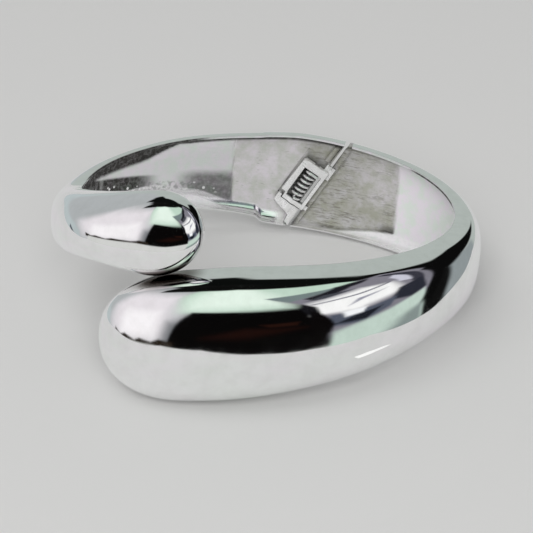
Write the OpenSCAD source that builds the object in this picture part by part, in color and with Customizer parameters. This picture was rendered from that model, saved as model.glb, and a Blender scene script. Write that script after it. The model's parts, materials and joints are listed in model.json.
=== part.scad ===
// Hinged wrap bangle: two hollow-backed arms that end in teardrop bulbs and pass each
// other at the front, joined at the back by a slanted spring hinge.
// The bangle is worked out upright, with the wrist hole along Z, the back at +Y and the
// bulbs at -Y. The last step lays it down as it rests by itself on a flat surface.

/* [Wrist opening] */
// Width of the oval wrist opening, side to side
opening_w = 60; // [56:0.5:66]
// Depth of the oval wrist opening, back to front
opening_d = 48; // [45:0.5:54]

/* [Arms] */
// Rounding of the band's edges
edge_r = 0.35; // [0.25:0.05:0.5]
// Where the upper bulb ends, in degrees round the oval from the back
upper_tip = -160; // [-163:0.5:-155]
// Where the lower bulb ends, in degrees round the oval from the back
lower_tip = 227.5; // [222:0.5:232]
// Length of the upper bulb's rounded end, in degrees round the oval
upper_cap = 14.5; // [12:0.5:18]
// Length of the lower bulb's rounded end, in degrees round the oval
lower_cap = 24; // [20:0.5:28]

/* [Seam] */
// Slope of the seam and the hinge against the wrist hole's axis
seam_tilt = 30; // [25:1:35]
// Width of the seam at the inner face
seam_gap = 0.6; // [0.55:0.05:0.8]
// How much each side of the seam recedes for each millimetre deeper than the lips
seam_flare = 0.14; // [0.14:0.01:0.2]
// Distance from the pin's axis to the middle of the seam
seam_offset = 1.91; // [1.85:0.02:2.05]
// Width of the low lips that close the hollow backs along the seam
seam_lip_w = 0.8; // [0.6:0.1:1]
// Height of the lips above the hollow backs' floors
seam_lip_h = 0.65; // [0.5:0.05:0.7]

/* [Hinge] */
// Where the hinge sits, in degrees round the oval from the back
hinge_angle = 14.3; // [13:0.1:16]
// Depth of the pin's axis behind the inner face of the band
pin_depth = 1.6; // [1.5:0.05:1.7]
// Diameter of the hinge pin
pin_d = 0.9; // [0.8:0.05:1]
// Clearance round the pin in its bores
pin_clear = 0.05; // [0.03:0.01:0.08]
// Radius of the barrels round the pin
barrel_r = 1.1; // [1.05:0.05:1.15]
// Clearance between the frame and the knuckle along the pin
hinge_clear = 0.15; // [0.1:0.05:0.2]

/* [Spring] */
// Thickness of the spring's wire
wire_d = 0.5; // [0.4:0.05:0.55]
// Outer diameter of the coil
coil_d = 2.6; // [2.3:0.1:2.6]
// Number of turns in the coil
coil_turns = 6; // [5:1:7]

/* [Hidden] */
$fn = 48;

// How the bangle leans when it lies on its lower bulb and on the lower edge of its back
rest_turn_x = -8.85;
rest_turn_y = 5.45;

// One row per cross-section, going round from the upper bulb's tip past the back, at
// angle 0, to the lower bulb's tip. Angles are in degrees round the oval opening.
//   height_mid    height of the section's middle above the level of the hinge
//   height        height of the section, along the wrist hole
//   thickness     thickness of the section, from the inner face outwards
//   shoulder      squareness of the outer shoulders, where 2 is an ellipse
//   roundness     0 where the inner face is flat between its edges, 1 where it is round
//   hollow        depth of the hollow back
// [angle, height_mid, height, thickness, shoulder, roundness, hollow]
stations = [
    [-163,  8.95, 14.15,  8.8, 2.0, 0.95, 0.00],
    [-148,  8.15, 13.60,  9.7, 2.8, 0.95, 0.00],
    [-130,  6.50, 11.00, 10.6, 2.2, 0.60, 0.00],
    [-110,  3.75, 10.20,  6.6, 3.2, 0.25, 1.00],
    [ -85,  1.20,  9.30,  4.3, 3.0, 0.00, 2.20],
    [ -55,  1.20, 10.60,  3.0, 3.0, 0.00, 1.50],
    [ -25,  1.60, 12.50,  3.7, 3.6, 0.00, 2.10],
    [  -1,  1.10, 14.70,  4.1, 4.2, 0.00, 2.60],
    [   2,  0.70, 15.90,  4.1, 4.4, 0.00, 2.60],
    [  15,  0.60, 16.60,  4.2, 4.5, 0.00, 2.65],
    [  50, -0.40, 15.85,  4.3, 3.8, 0.00, 2.70],
    [  90, -1.15, 13.50,  4.8, 2.8, 0.00, 3.00],
    [ 125, -2.35, 14.30,  5.3, 3.0, 0.00, 3.20],
    [ 160, -4.80, 18.05,  7.4, 3.5, 0.10, 3.60],
    [ 190, -6.85, 20.80,  9.5, 3.6, 0.30, 2.00],
    [ 212, -8.60, 20.85, 10.8, 3.0, 0.70, 0.00],
    [ 236, -10.15, 22.55, 12.0, 2.7, 0.90, 0.00],
];
ANGLE = 0;
MID = 1;
HEIGHT = 2;
THICK = 3;
SHOULDER = 4;
ROUND = 5;
HOLLOW = 6;

// Squareness of the outer dome from top to bottom, in the band and in the bulbs
band_dome = 2.7;
bulb_dome = 2.0;
// Squareness of the hollow back's outline
hollow_square = 4;
// How much of a bulb's thickness its inner face rounds off
bulb_inner = 0.48;

// Points round a section's outer contour, and rings in each part of an arm
outer_steps = 18;
edge_steps = 5;
seam_rings = 13;
band_rings = 26;
cap_rings = 9;
// Span of the rings that turn from the seam's slope to upright, in degrees
seam_span = 36;
// Last ring of a rounded end, in degrees of its quarter turn, where the tip is almost closed
tip_turn = 84;

oval_x = opening_w / 2;
oval_y = opening_d / 2;

// Slope of the table at row i, from the rows beside it
function row_slope(i) =
    let (a = max(i - 1, 0), b = min(i + 1, len(stations) - 1))
    (stations[b] - stations[a]) / (stations[b][ANGLE] - stations[a][ANGLE]);

// Row of the table that the given angle follows
function row_before(angle) =
    max(0, len([for (s = stations) if (s[ANGLE] <= angle && s[ANGLE] < stations[len(stations) - 1][ANGLE]) 1]) - 1);

// All the section's measures at any angle, on a smooth curve through the table
function measures(angle) =
    let (i = row_before(angle),
         step = stations[i + 1][ANGLE] - stations[i][ANGLE],
         u = (angle - stations[i][ANGLE]) / step)
    (2 * pow(u, 3) - 3 * pow(u, 2) + 1) * stations[i]
    + (pow(u, 3) - 2 * pow(u, 2) + u) * step * row_slope(i)
    + (3 * pow(u, 2) - 2 * pow(u, 3)) * stations[i + 1]
    + (pow(u, 3) - pow(u, 2)) * step * row_slope(i + 1);

function signed_pow(x, e) = sign(x) * pow(abs(x), e);

// Marks round a section: down the outer contour, then up the inner one
inner_count = outer_steps - 1;
hollow_count = inner_count - 2 * edge_steps;
marks = concat(
    [for (k = [0:outer_steps]) ["outer", 90 - 180 * k / outer_steps]],
    [for (k = [1:edge_steps]) ["low_edge", 90 * k / edge_steps]],
    [for (k = [1:hollow_count]) ["hollow", -90 + 180 * k / (hollow_count + 1)]],
    [for (k = [edge_steps:-1:1]) ["high_edge", 90 * k / edge_steps]]
);

// A mark's place in the section: distance out from the inner face, and height
function mark_point(m, mark) =
    let (part = mark[0],
         turn = mark[1],
         round_in = max(0, min(1, m[ROUND])),
         half = m[HEIGHT] / 2,
         inset = edge_r + (m[THICK] * bulb_inner - edge_r) * round_in,
         edge = edge_r + (half - edge_r) * round_in,
         dome = band_dome + (bulb_dome - band_dome) * round_in)
    part == "outer"
        ? [inset + (m[THICK] - inset) * pow(max(0, cos(turn)), 2 / m[SHOULDER]),
           m[MID] + half * signed_pow(sin(turn), 2 / dome)]
    : part == "hollow"
        ? [max(0, m[HOLLOW]) * pow(max(0, cos(turn)), 2 / hollow_square),
           m[MID] + (half - edge) * signed_pow(sin(turn), 2 / hollow_square)]
        : [inset * (1 - sin(turn)),
           m[MID] + (part == "high_edge" ? 1 : -1) * (half - edge * (1 - cos(turn)))];

// Distance round the oval for each degree
function oval_speed(angle) =
    norm([oval_x * cos(angle), oval_y * sin(angle)]) * PI / 180;

// A point of the bangle: out from the oval by the given distance, at the given height
function wall_point(angle, out, height) =
    let (normal = [oval_y * sin(angle), oval_x * cos(angle)],
         foot = [oval_x * sin(angle), oval_y * cos(angle)],
         place = foot + out * normal / norm(normal))
    [place[0], place[1], height];

// The hinge's own directions: its yaw round the wrist hole's axis, and the pin's middle
hinge_yaw = atan2(oval_y * sin(hinge_angle), oval_x * cos(hinge_angle));
pin_middle = wall_point(hinge_angle, pin_depth, 0);

// Distance of a point from the pin's axis, square to the seam
function across_pin(p) =
    ((p[0] - pin_middle[0]) * cos(hinge_yaw) - (p[1] - pin_middle[1]) * sin(hinge_yaw)) * cos(seam_tilt)
    - p[2] * sin(seam_tilt);

// The seam's face on one side, as a distance across the pin at a given depth in the wall.
// It stands upright to the wall as deep as the lips, then recedes so that the arms can swing.
seam_upright = 2;
function face_offset(side, out) =
    seam_offset + side * (seam_gap / 2 + seam_flare * max(0, out - seam_upright));

// Angle round the oval at which a spot of the section lies in that face
function face_angle(side, spot, angle, tries = 3) =
    tries == 0 ? angle
    : let (short = face_offset(side, spot[0]) - across_pin(wall_point(angle, spot[0], spot[1])))
      face_angle(side, spot, angle + short / cos(seam_tilt) / oval_speed(angle), tries - 1);

// One ring of an arm. Its lean runs from 1, all in the seam's face, to 0, upright. It is
// shrunk towards its middle by shrink, and has a share of its hollow's depth.
function leaning(side, angle, start, lean, spot) =
    lean == 0 ? angle : angle + lean * (face_angle(side, spot, start) - start);

function ring(side, angle, start, lean, shrink, hollow_share) =
    [for (mark = marks)
        let (first = mark_point(measures(angle), mark),
             second = mark_point(measures(leaning(side, angle, start, lean, first)), mark),
             place = leaning(side, angle, start, lean, second),
             m = measures(place),
             spot = mark_point(m, mark),
             centre = [m[THICK] / 2, m[MID]],
             small = centre + (spot - centre) * shrink,
             depth = mark[0] == "hollow" ? small[0] * hollow_share : small[0])
        wall_point(place, depth, small[1])];

// Rings from the seam to the bulb's tip. side is 1 for the lower bulb's arm, -1 for the other.
function arm_rings(side, tip, cap) =
    let (start = face_angle(side, [0, 0], hinge_angle),
         lip_end = side * seam_lip_w / cos(seam_tilt) / oval_speed(start),
         lip_share = 1 - seam_lip_h / measures(start)[HOLLOW],
         floor_start = start + lip_end * 1.35,
         upright = start + side * seam_span,
         cap_start = tip - side * cap)
    concat(
        [ring(side, start, start, 1, 1, lip_share),
         ring(side, start + lip_end, start, 1, 1, lip_share),
         ring(side, floor_start, start, 1, 1, 1)],
        [for (k = [1:seam_rings])
            let (u = k / seam_rings)
            ring(side, floor_start + (upright - floor_start) * u, start, pow(cos(90 * u), 2), 1, 1)],
        [for (k = [1:band_rings])
            ring(side, upright + (cap_start - upright) * k / band_rings, start, 0, 1, 1)],
        [for (k = [1:cap_rings])
            let (turn = tip_turn * k / cap_rings)
            ring(side, cap_start + side * cap * sin(turn), start, 0, cos(turn), 1)]
    );

// Faces of a closed solid through rings of equal length
count = len(marks);
function skin_faces(rings) = concat(
    [for (i = [0:len(rings) - 2]) for (j = [0:count - 1])
        let (a = i * count + j, b = i * count + (j + 1) % count)
        each [[a, b, b + count], [a, b + count, a + count]]],
    end_faces(0, true),
    end_faces((len(rings) - 1) * count, false)
);

// An end face as a strip between the outer contour and the inner one
function end_faces(first, flip) =
    [for (k = [0:outer_steps - 1])
        let (a = first + k,
             b = first + k + 1,
             c = first + (count - k - 1) % count,
             d = first + (count - k) % count)
        each [if (k < outer_steps - 1) (flip ? [a, c, b] : [a, b, c]),
              if (k > 0) (flip ? [a, d, c] : [a, c, d])]];

module skin(rings, reverse) {
    faces = skin_faces(rings);
    polyhedron(
        points = [for (r = rings) each r],
        faces = reverse ? [for (f = faces) [f[0], f[2], f[1]]] : faces,
        convexity = 8
    );
}

lower_rings = arm_rings(1, lower_tip, lower_cap);
upper_rings = arm_rings(-1, upper_tip, upper_cap);

// Turns a point from the upright bangle to the one at rest
function rest_turned(p) =
    let (y = p[1] * cos(rest_turn_x) - p[2] * sin(rest_turn_x),
         z = p[1] * sin(rest_turn_x) + p[2] * cos(rest_turn_x))
    [p[0] * cos(rest_turn_y) + z * sin(rest_turn_y), y, z * cos(rest_turn_y) - p[0] * sin(rest_turn_y)];

resting = [for (r = concat(lower_rings, upper_rings)) for (p = r) rest_turned(p)];
resting_low = [for (axis = [0:2]) min([for (p = resting) p[axis]])];
resting_high = [for (axis = [0:2]) max([for (p = resting) p[axis]])];

module at_rest() {
    translate([-(resting_low[0] + resting_high[0]) / 2, -(resting_low[1] + resting_high[1]) / 2, -resting_low[2]])
        rotate([rest_turn_x, rest_turn_y, 0]) children();
}

// Stands a child at the hinge: Z runs along the pin, X across the seam towards the lower
// bulb's arm and Y out through the wall, from the middle of the pin
module in_hinge() {
    translate(pin_middle) rotate([0, 0, -hinge_yaw]) rotate([0, seam_tilt, 0]) children();
}

// Distances along the pin
window_low = -3.2;
window_high = 2.8;
frame_low = -4.0;
frame_high = 4.1;
bridge_high = 5.3;
bar_low = -2.8;
foot_low = -5.6;
tongue_low = -7.7;
pin_low = -5.3;

// Distances across the pin, from the upper bulb's arm to the lower one's
bar_out = -2.7;
bar_in = -1.6;
cheek_out = -1.85;
seat_bar_in = 1.75;
seat_bar_out = 2.35;
seat_out = 3.0;
knuckle_right = 1.9;
foot_left = -1.5;
foot_right = 1.6;

// Distances through the wall, towards the wrist below 0 and outwards above
frame_top = -0.9;
frame_bottom = 0.3;
seat_top = -0.1;
bar_foot = 0.8;
knuckle_top = -0.8;
knuckle_bottom = -0.1;
tongue_bottom = 0.3;
knuckle_foot = 0.95;

// A plate between two depths, with its outline given across and along the pin
module plate(outline, top, bottom) {
    translate([0, bottom, 0]) rotate([90, 0, 0]) linear_extrude(bottom - top) polygon(outline);
}

module block(left, right, top, bottom, low, high) {
    translate([left, top, low]) cube([right - left, bottom - top, high - low]);
}

module barrel(low, high) {
    translate([0, 0, low]) cylinder(r = barrel_r, h = high - low);
}

// The hole for the pin, with its running clearance
module pin_bore(low, high) {
    translate([0, 0, low]) cylinder(d = pin_d + 2 * pin_clear, h = high - low);
}

// The space the frame and the coil swing in, sunk into the upper bulb's arm
swing_gap = 0.2;
swing_floor = 1.05;
coil_floor = 1.6;
above_band = -8;
module swing_space() {
    block(bar_out - swing_gap, seat_out, above_band, swing_floor, frame_low - swing_gap, bridge_high + swing_gap);
    block(bar_in, seat_out, above_band, coil_floor, frame_low - swing_gap, window_high + swing_gap);
}

// The space the knuckle fills in the upper bulb's arm
seat_clear = 0.05;
module knuckle_space() {
    plate(tongue_outline(seat_clear), above_band, tongue_bottom + seat_clear);
    block(foot_left - seat_clear, seat_out, above_band, barrel_r + seat_clear, foot_low - seat_clear, frame_low);
}

// The space the frame's seats fill in the lower bulb's arm
module seat_space() {
    block(0, seat_out + seat_clear, above_band, frame_bottom + seat_clear, window_high - seat_clear,
          bridge_high + seat_clear);
    block(0, seat_out + seat_clear, above_band, frame_bottom + seat_clear, frame_low - seat_clear,
          window_low + seat_clear);
    block(0, seat_bar_out + seat_clear, above_band, frame_bottom + seat_clear, frame_low, frame_high);
}

// The upper rims end upright at the seam, short of its slope, and not deeper than the pin
corner_low = 7.3;
left_corner = 6.6;
right_corner = 7.9;
module corner_cut(from, to) {
    translate(pin_middle) rotate([0, 0, -hinge_yaw]) translate([from, -8, corner_low]) cube([to - from, 8, 8]);
}

module left_arm() {
    color("silver") at_rest() difference() {
        skin(upper_rings, true);
        in_hinge() swing_space();
        in_hinge() knuckle_space();
        corner_cut(left_corner, right_corner);
    }
}

module right_arm() {
    color("silver") at_rest() difference() {
        skin(lower_rings, false);
        in_hinge() seat_space();
        corner_cut(left_corner, right_corner);
    }
}

// The box round the spring, seated on the seam lip of the lower bulb's arm
module hinge_frame() {
    color("gainsboro") at_rest() in_hinge() difference() {
        union() {
            plate([[bar_out, bar_low], [bar_in, bar_low], [bar_in, frame_high - 0.1], [-2.1, frame_high - 0.1],
                   [bar_out + 0.25, frame_high - 0.5]], frame_top, bar_foot);
            block(cheek_out, bar_in + 0.1, frame_top, frame_bottom, frame_low, bar_low + 0.1);
            block(cheek_out, seat_bar_out, frame_top, frame_bottom, frame_low, window_low);
            block(bar_in - 0.1, seat_bar_out, frame_top, frame_bottom, window_high, frame_high);
            block(seat_bar_in, seat_bar_out, frame_top, frame_bottom, frame_low, frame_high);
            block(seat_bar_in - 0.4, seat_out, seat_top, frame_bottom, window_high, bridge_high);
            block(seat_bar_in, seat_out, seat_top, frame_bottom, frame_low, window_low);
            barrel(frame_low, window_low);
        }
        pin_bore(frame_low - 1, frame_high + 1);
    }
}

// Outline of the knuckle and its tongue, grown by a clearance at its left and lower sides
knuckle_high = frame_low - hinge_clear;
function tongue_outline(grow, right = knuckle_right) = [
    [-2.7 - grow, -3.6], [-2.7 - grow, -5.1 - grow], [-2.1 - grow, -5.4 - grow], [-0.9 - grow, -5.7 - grow],
    [-grow, -5.9 - grow], [0.8 - grow, -6.2 - grow], [1.0 - grow, tongue_low - grow], [right, tongue_low - grow],
    [right, knuckle_high], [-2.05, knuckle_high], [-2.05, -3.6]
];

// The knuckle under the frame, with the tongue that runs down to the band's lower edge
module hinge_knuckle() {
    color("gainsboro") at_rest() in_hinge() difference() {
        union() {
            plate(tongue_outline(0), knuckle_top, knuckle_bottom);
            plate(tongue_outline(0, foot_right), knuckle_top, tongue_bottom);
            block(foot_left, foot_right, knuckle_bottom, knuckle_foot, foot_low, knuckle_high);
            barrel(foot_low, knuckle_high);
        }
        pin_bore(pin_low - hinge_clear, knuckle_high + 1);
    }
}

module hinge_pin() {
    color("darkgray") at_rest() in_hinge() translate([0, 0, pin_low])
        cylinder(d = pin_d, h = frame_high - 0.1 - pin_low);
}

// The spring's coil, wound round the pin between the cheeks
wire_sides = 6;
turn_steps = 12;
coil_end_gap = 0.1;
function coil_ring(k, low, climb) =
    let (turn = 360 * k / turn_steps,
         height = low + climb * k / turn_steps)
    [for (s = [0:wire_sides - 1])
        let (side = 360 * s / wire_sides,
             reach = coil_d / 2 - wire_d / 2 + wire_d / 2 * cos(side))
        [reach * cos(turn), reach * sin(turn), height + wire_d / 2 * sin(side)]];

module hinge_spring() {
    low = window_low + coil_end_gap + wire_d / 2;
    climb = (window_high - window_low - 2 * coil_end_gap - wire_d) / coil_turns;
    last = coil_turns * turn_steps;
    color("lightgray") at_rest() in_hinge() polyhedron(
        points = [for (k = [0:last]) each coil_ring(k, low, climb)],
        faces = concat(
            [[for (s = [wire_sides - 1:-1:0]) s]],
            [for (k = [0:last - 1]) for (s = [0:wire_sides - 1])
                let (a = k * wire_sides + s, b = k * wire_sides + (s + 1) % wire_sides)
                each [[a, b + wire_sides, a + wire_sides], [a, b, b + wire_sides]]],
            [[for (s = [0:wire_sides - 1]) last * wire_sides + s]]
        ),
        convexity = 10
    );
}

left_arm();
right_arm();
hinge_frame();
hinge_knuckle();
hinge_pin();
hinge_spring();
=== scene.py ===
# %% [markdown]
# # A hinged wrap bangle in polished metal
#
# The bangle is cast in two arms. Each arm is hollow at the back, where it touches the wrist, and
# swells into a solid teardrop bulb at the front. A slanted spring hinge joins the two arms at the
# back. This lesson rebuilds the arms as fine meshes, dresses them in plated metal, and sets up the
# little studio that a shiny thing needs, because polished metal shows nothing but its surroundings.

# %% Load the packed model
import json
import math

import bmesh
import bpy
import numpy as np
from mathutils import Matrix, Vector
from mathutils.bvhtree import BVHTree


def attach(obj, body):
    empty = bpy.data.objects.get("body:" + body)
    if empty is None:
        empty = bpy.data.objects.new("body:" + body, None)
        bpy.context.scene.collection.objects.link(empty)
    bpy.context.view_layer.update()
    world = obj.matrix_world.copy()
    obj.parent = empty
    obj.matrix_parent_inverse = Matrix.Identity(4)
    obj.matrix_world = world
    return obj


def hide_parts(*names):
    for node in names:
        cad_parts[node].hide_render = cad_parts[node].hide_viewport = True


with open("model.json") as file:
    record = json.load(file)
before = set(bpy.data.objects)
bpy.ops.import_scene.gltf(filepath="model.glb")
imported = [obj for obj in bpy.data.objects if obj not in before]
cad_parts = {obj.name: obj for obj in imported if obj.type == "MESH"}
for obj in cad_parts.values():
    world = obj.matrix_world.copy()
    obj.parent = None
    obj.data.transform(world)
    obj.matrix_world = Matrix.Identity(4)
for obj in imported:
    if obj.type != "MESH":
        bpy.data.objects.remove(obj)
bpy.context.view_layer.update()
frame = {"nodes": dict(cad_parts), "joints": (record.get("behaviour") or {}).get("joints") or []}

# %% [markdown]
# ## The hinge gives the place
#
# The packed model states where the hinge pin is and which way it points. Everything else hangs on
# that one fact: the arms are worked out with the wrist hole upright, then turned by the two small
# angles at which the bangle lies at rest, and moved until their pin lies on the joint's.

# %% The resting place
MM = 0.001
joint = frame["joints"][0]
pin_place = Vector(joint["pos_m"])
rest_roll, rest_pitch = math.radians(5.45), math.radians(-8.85)
rest_turn = Matrix.Rotation(rest_roll, 4, "Y") @ Matrix.Rotation(rest_pitch, 4, "X")

opening_w = 60.0
opening_d = 48.0
hinge_angle = 14.3
pin_depth = 1.6
seam_tilt = 30.0


def wall_points(angle, out, height):
    """Points of the bangle: out from the oval wrist opening by a distance, at a height, in mm."""
    turn = np.radians(angle)
    foot = np.stack([opening_w / 2 * np.sin(turn), opening_d / 2 * np.cos(turn)], -1)
    normal = np.stack([opening_d / 2 * np.sin(turn), opening_w / 2 * np.cos(turn)], -1)
    normal /= np.linalg.norm(normal, axis=-1, keepdims=True)
    flat = foot + np.asarray(out)[..., None] * normal
    return np.concatenate([flat, np.asarray(height + 0 * turn)[..., None]], -1)


hinge_yaw = math.atan2(opening_d * math.sin(math.radians(hinge_angle)),
                       opening_w * math.cos(math.radians(hinge_angle)))
pin_middle = Vector(wall_points(np.float64(hinge_angle), pin_depth, 0.0))
at_rest = Matrix.Translation(pin_place - rest_turn @ (pin_middle * MM)) @ rest_turn @ Matrix.Scale(MM, 4)
upright_hinge = Matrix.Translation(pin_middle) @ Matrix.Rotation(-hinge_yaw, 4, "Z")
in_hinge = upright_hinge @ Matrix.Rotation(math.radians(seam_tilt), 4, "Y")
print("pin at", [round(x / MM, 2) for x in pin_place], "mm")

# %% [markdown]
# ## The shape of the arms
#
# Both arms follow one oval. Each row of the table below is a cross-section: how high its middle
# lies, how tall and how thick it is, how square its shoulders are, how round its inner face is and
# how deep its back is hollowed. A smooth curve is drawn through the rows. A mirror finish shows
# every kink in such a curve, so the measures are also averaged over a few degrees, except close to
# the seam, where the rims change quickly on the real piece too.

# %% Cross-sections
SECTIONS = np.array([
    # angle, height_mid, height, thickness, shoulder, roundness, hollow
    [-163, 8.95, 14.15, 8.8, 2.0, 0.95, 0.00],
    [-148, 8.15, 13.60, 9.7, 2.8, 0.95, 0.00],
    [-130, 6.50, 11.00, 10.6, 2.2, 0.60, 0.00],
    [-110, 3.75, 10.20, 6.6, 3.2, 0.25, 1.00],
    [-85, 1.20, 9.30, 4.3, 3.0, 0.00, 2.20],
    [-55, 1.20, 10.60, 3.0, 3.0, 0.00, 1.50],
    [-25, 1.60, 12.50, 3.7, 3.6, 0.00, 2.10],
    [-1, 1.10, 14.70, 4.1, 4.2, 0.00, 2.60],
    [2, 0.70, 15.90, 4.1, 4.4, 0.00, 2.60],
    [15, 0.60, 16.60, 4.2, 4.5, 0.00, 2.65],
    [50, -0.40, 15.85, 4.3, 3.8, 0.00, 2.70],
    [90, -1.15, 13.50, 4.8, 2.8, 0.00, 3.00],
    [125, -2.35, 14.30, 5.3, 3.0, 0.00, 3.20],
    [160, -4.80, 18.05, 7.4, 3.5, 0.10, 3.60],
    [190, -6.85, 20.80, 9.5, 3.6, 0.30, 2.00],
    [212, -8.60, 20.85, 10.8, 3.0, 0.70, 0.00],
    [236, -10.15, 22.55, 12.0, 2.7, 0.90, 0.00],
])
ANGLE, MID, HEIGHT, THICK, SHOULDER, ROUND, HOLLOW = range(7)


def row_slopes():
    """Slope of the table at each row, from the rows beside it."""
    after = np.vstack([SECTIONS[1:], SECTIONS[-1:]])
    before = np.vstack([SECTIONS[:1], SECTIONS[:-1]])
    return (after - before) / (after - before)[:, :1]


SLOPES = row_slopes()


def curve_measures(angle):
    """The section's measures on the curve through the table, at each angle."""
    row = np.clip(np.searchsorted(SECTIONS[:, ANGLE], angle, side="right") - 1, 0, len(SECTIONS) - 2)
    step = (SECTIONS[row + 1, ANGLE] - SECTIONS[row, ANGLE])[..., None]
    u = (angle - SECTIONS[row, ANGLE])[..., None] / step
    return ((2 * u**3 - 3 * u**2 + 1) * SECTIONS[row] + (u**3 - 2 * u**2 + u) * step * SLOPES[row]
            + (3 * u**2 - 2 * u**3) * SECTIONS[row + 1] + (u**3 - u**2) * step * SLOPES[row + 1])


def measures(angle):
    """The same, averaged over a few degrees where the arms are away from the seam."""
    seam_middle, plain_half, fade, width = 0.5, 5.0, 12.0, 8.0
    reach = width * np.clip((np.abs(angle - seam_middle) - plain_half) / fade, 0, 1)
    spots = np.linspace(-1, 1, 9)
    edge_weight = 0.05
    weights = 1 - spots**2 * (1 - edge_weight)
    lowest, highest = SECTIONS[0, ANGLE] - 2, SECTIONS[-1, ANGLE]
    near = [curve_measures(np.clip(angle + spot * reach, lowest, highest)) for spot in spots]
    return sum(w * m for w, m in zip(weights, near)) / weights.sum()


print("back thickness", measures(np.array([0.0]))[0, THICK].round(2), "mm")

# %% [markdown]
# ## One cross-section
#
# A section is walked once round: down its outer side, round the lower rim, up the hollow inner
# side and round the upper rim. The outer side and the hollow are superellipses, curves between an
# oval and a rectangle, which are quick to write and easy to tune. The steps are spaced evenly
# along the curve, so that the mesh has no long thin faces to spoil the reflections.

# %% Marks round a section
edge_r = 0.35
band_dome, bulb_dome = 2.7, 2.0
hollow_square = 4.0
bulb_inner = 0.48
OUTER, LOW_EDGE, HOLLOW_SIDE, HIGH_EDGE = range(4)


def signed_power(x, power):
    """A power that keeps the sign of x."""
    return np.sign(x) * np.abs(x)**power


def even_turns(count, square_x, square_y, width=4.0, half_height=8.0):
    """Turns from -90 to 90 degrees whose points lie evenly along a superellipse."""
    turn = np.radians(np.linspace(-90, 90, 2001))
    x = width * np.maximum(0, np.cos(turn))**(2 / square_x)
    y = half_height * signed_power(np.sin(turn), 2 / square_y)
    along = np.concatenate([[0], np.cumsum(np.hypot(np.diff(x), np.diff(y)))])
    return np.degrees(np.interp(np.linspace(0, along[-1], count + 1), along, turn))


def section_marks(outer_steps, edge_steps, hollow_steps):
    """The part and the turn of every mark round a section."""
    quarter = 90 * np.arange(1, edge_steps + 1) / edge_steps
    outer = even_turns(outer_steps, 3.4, band_dome)[::-1]
    hollow = even_turns(hollow_steps, hollow_square, hollow_square)[1:-1]
    counts = [len(outer), edge_steps, len(hollow), edge_steps]
    part = np.repeat([OUTER, LOW_EDGE, HOLLOW_SIDE, HIGH_EDGE], counts)
    return part, np.concatenate([outer, quarter, hollow, quarter[::-1]])


PART, TURN = section_marks(outer_steps=110, edge_steps=7, hollow_steps=66)


def section_points(m):
    """Distance out from the inner face and height of every mark, from one row of measures each."""
    turn = np.radians(TURN)
    roundness = np.clip(m[:, ROUND], 0, 1)
    half = m[:, HEIGHT] / 2
    inset = edge_r + (m[:, THICK] * bulb_inner - edge_r) * roundness
    edge = edge_r + (half - edge_r) * roundness
    dome = band_dome + (bulb_dome - band_dome) * roundness
    across, up = np.maximum(0, np.cos(turn)), np.sin(turn)
    side = np.where(PART == HIGH_EDGE, 1, -1)
    out = np.where(PART == OUTER, inset + (m[:, THICK] - inset) * across**(2 / m[:, SHOULDER]),
                   np.where(PART == HOLLOW_SIDE, np.maximum(0, m[:, HOLLOW]) * across**(2 / hollow_square),
                            inset * (1 - up)))
    rise = np.where(PART == OUTER, half * signed_power(up, 2 / dome),
                    np.where(PART == HOLLOW_SIDE, (half - edge) * signed_power(up, 2 / hollow_square),
                             side * (half - edge * (1 - np.cos(turn)))))
    return out, m[:, MID] + rise


print(len(PART), "marks round a section")

# %% [markdown]
# ## The slanted seam
#
# The two arms meet at the back along a seam that leans 30 degrees. Its two faces are flat and a
# little apart. The rings near the seam are tipped until they lie in such a face, and turn upright
# again further along. Each point asks at which angle round the oval it would lie in the face, and
# takes a share of that answer, from all of it at the seam to none where the ring stands upright.

# %% Rings of an arm
seam_gap, seam_flare, seam_offset, seam_upright = 0.6, 0.14, 1.91, 2.0
seam_lip_w, seam_lip_h = 0.8, 0.65
seam_bevel = 0.12
lean = math.radians(seam_tilt)


def oval_speed(angle):
    """Distance round the oval for each degree."""
    turn = np.radians(angle)
    return np.hypot(opening_w / 2 * np.cos(turn), opening_d / 2 * np.sin(turn)) * math.pi / 180


def across_pin(points):
    """Distance of points from the pin's axis, square to the seam."""
    level = ((points[..., 0] - pin_middle.x) * math.cos(hinge_yaw)
             - (points[..., 1] - pin_middle.y) * math.sin(hinge_yaw))
    return level * math.cos(lean) - points[..., 2] * math.sin(lean)


def face_angle(side, out, height, angle):
    """Angle round the oval at which spots of a section lie in the seam's face."""
    face = seam_offset + side * (seam_gap / 2 + seam_flare * np.maximum(0, out - seam_upright))
    for _ in range(3):
        short = face - across_pin(wall_points(angle, out, height))
        angle = angle + short / math.cos(lean) / oval_speed(angle)
    return angle


def ring(side, angle, start, share=0.0, shrink=1.0, hollow_share=1.0):
    """One ring of an arm. share is how far it leans with the seam, shrink closes it to its middle."""
    place = np.full(len(PART), float(angle))
    for _ in range(3):
        m = measures(place)
        out, height = section_points(m)
        tipped = face_angle(side, out, height, np.full(len(PART), start)) - start
        place = angle + share * tipped
    out = m[:, THICK] / 2 + (out - m[:, THICK] / 2) * shrink
    height = m[:, MID] + (height - m[:, MID]) * shrink
    out = np.where(PART == HOLLOW_SIDE, out * hollow_share, out)
    return wall_points(place, out, height)


def bevelled(face, inward, steps=4):
    """Rings that round a flat end over into the wall. inward points along the wall from the end."""
    tangent = np.roll(face, -1, 0) - np.roll(face, 1, 0)
    tangent /= np.linalg.norm(tangent, axis=1, keepdims=True)
    normal = np.linalg.svd(face - face.mean(0))[2][2]
    inner = np.cross(normal, tangent)
    towards_middle = np.sign(((face.mean(0) - face) * inner)[PART == OUTER].sum())
    inner *= towards_middle
    turns = np.radians(np.linspace(0, 90, steps + 1))[:-1]
    return [face + inner * seam_bevel * (1 - math.sin(t)) + inward * seam_bevel * (1 - math.cos(t))
            for t in turns]


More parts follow.
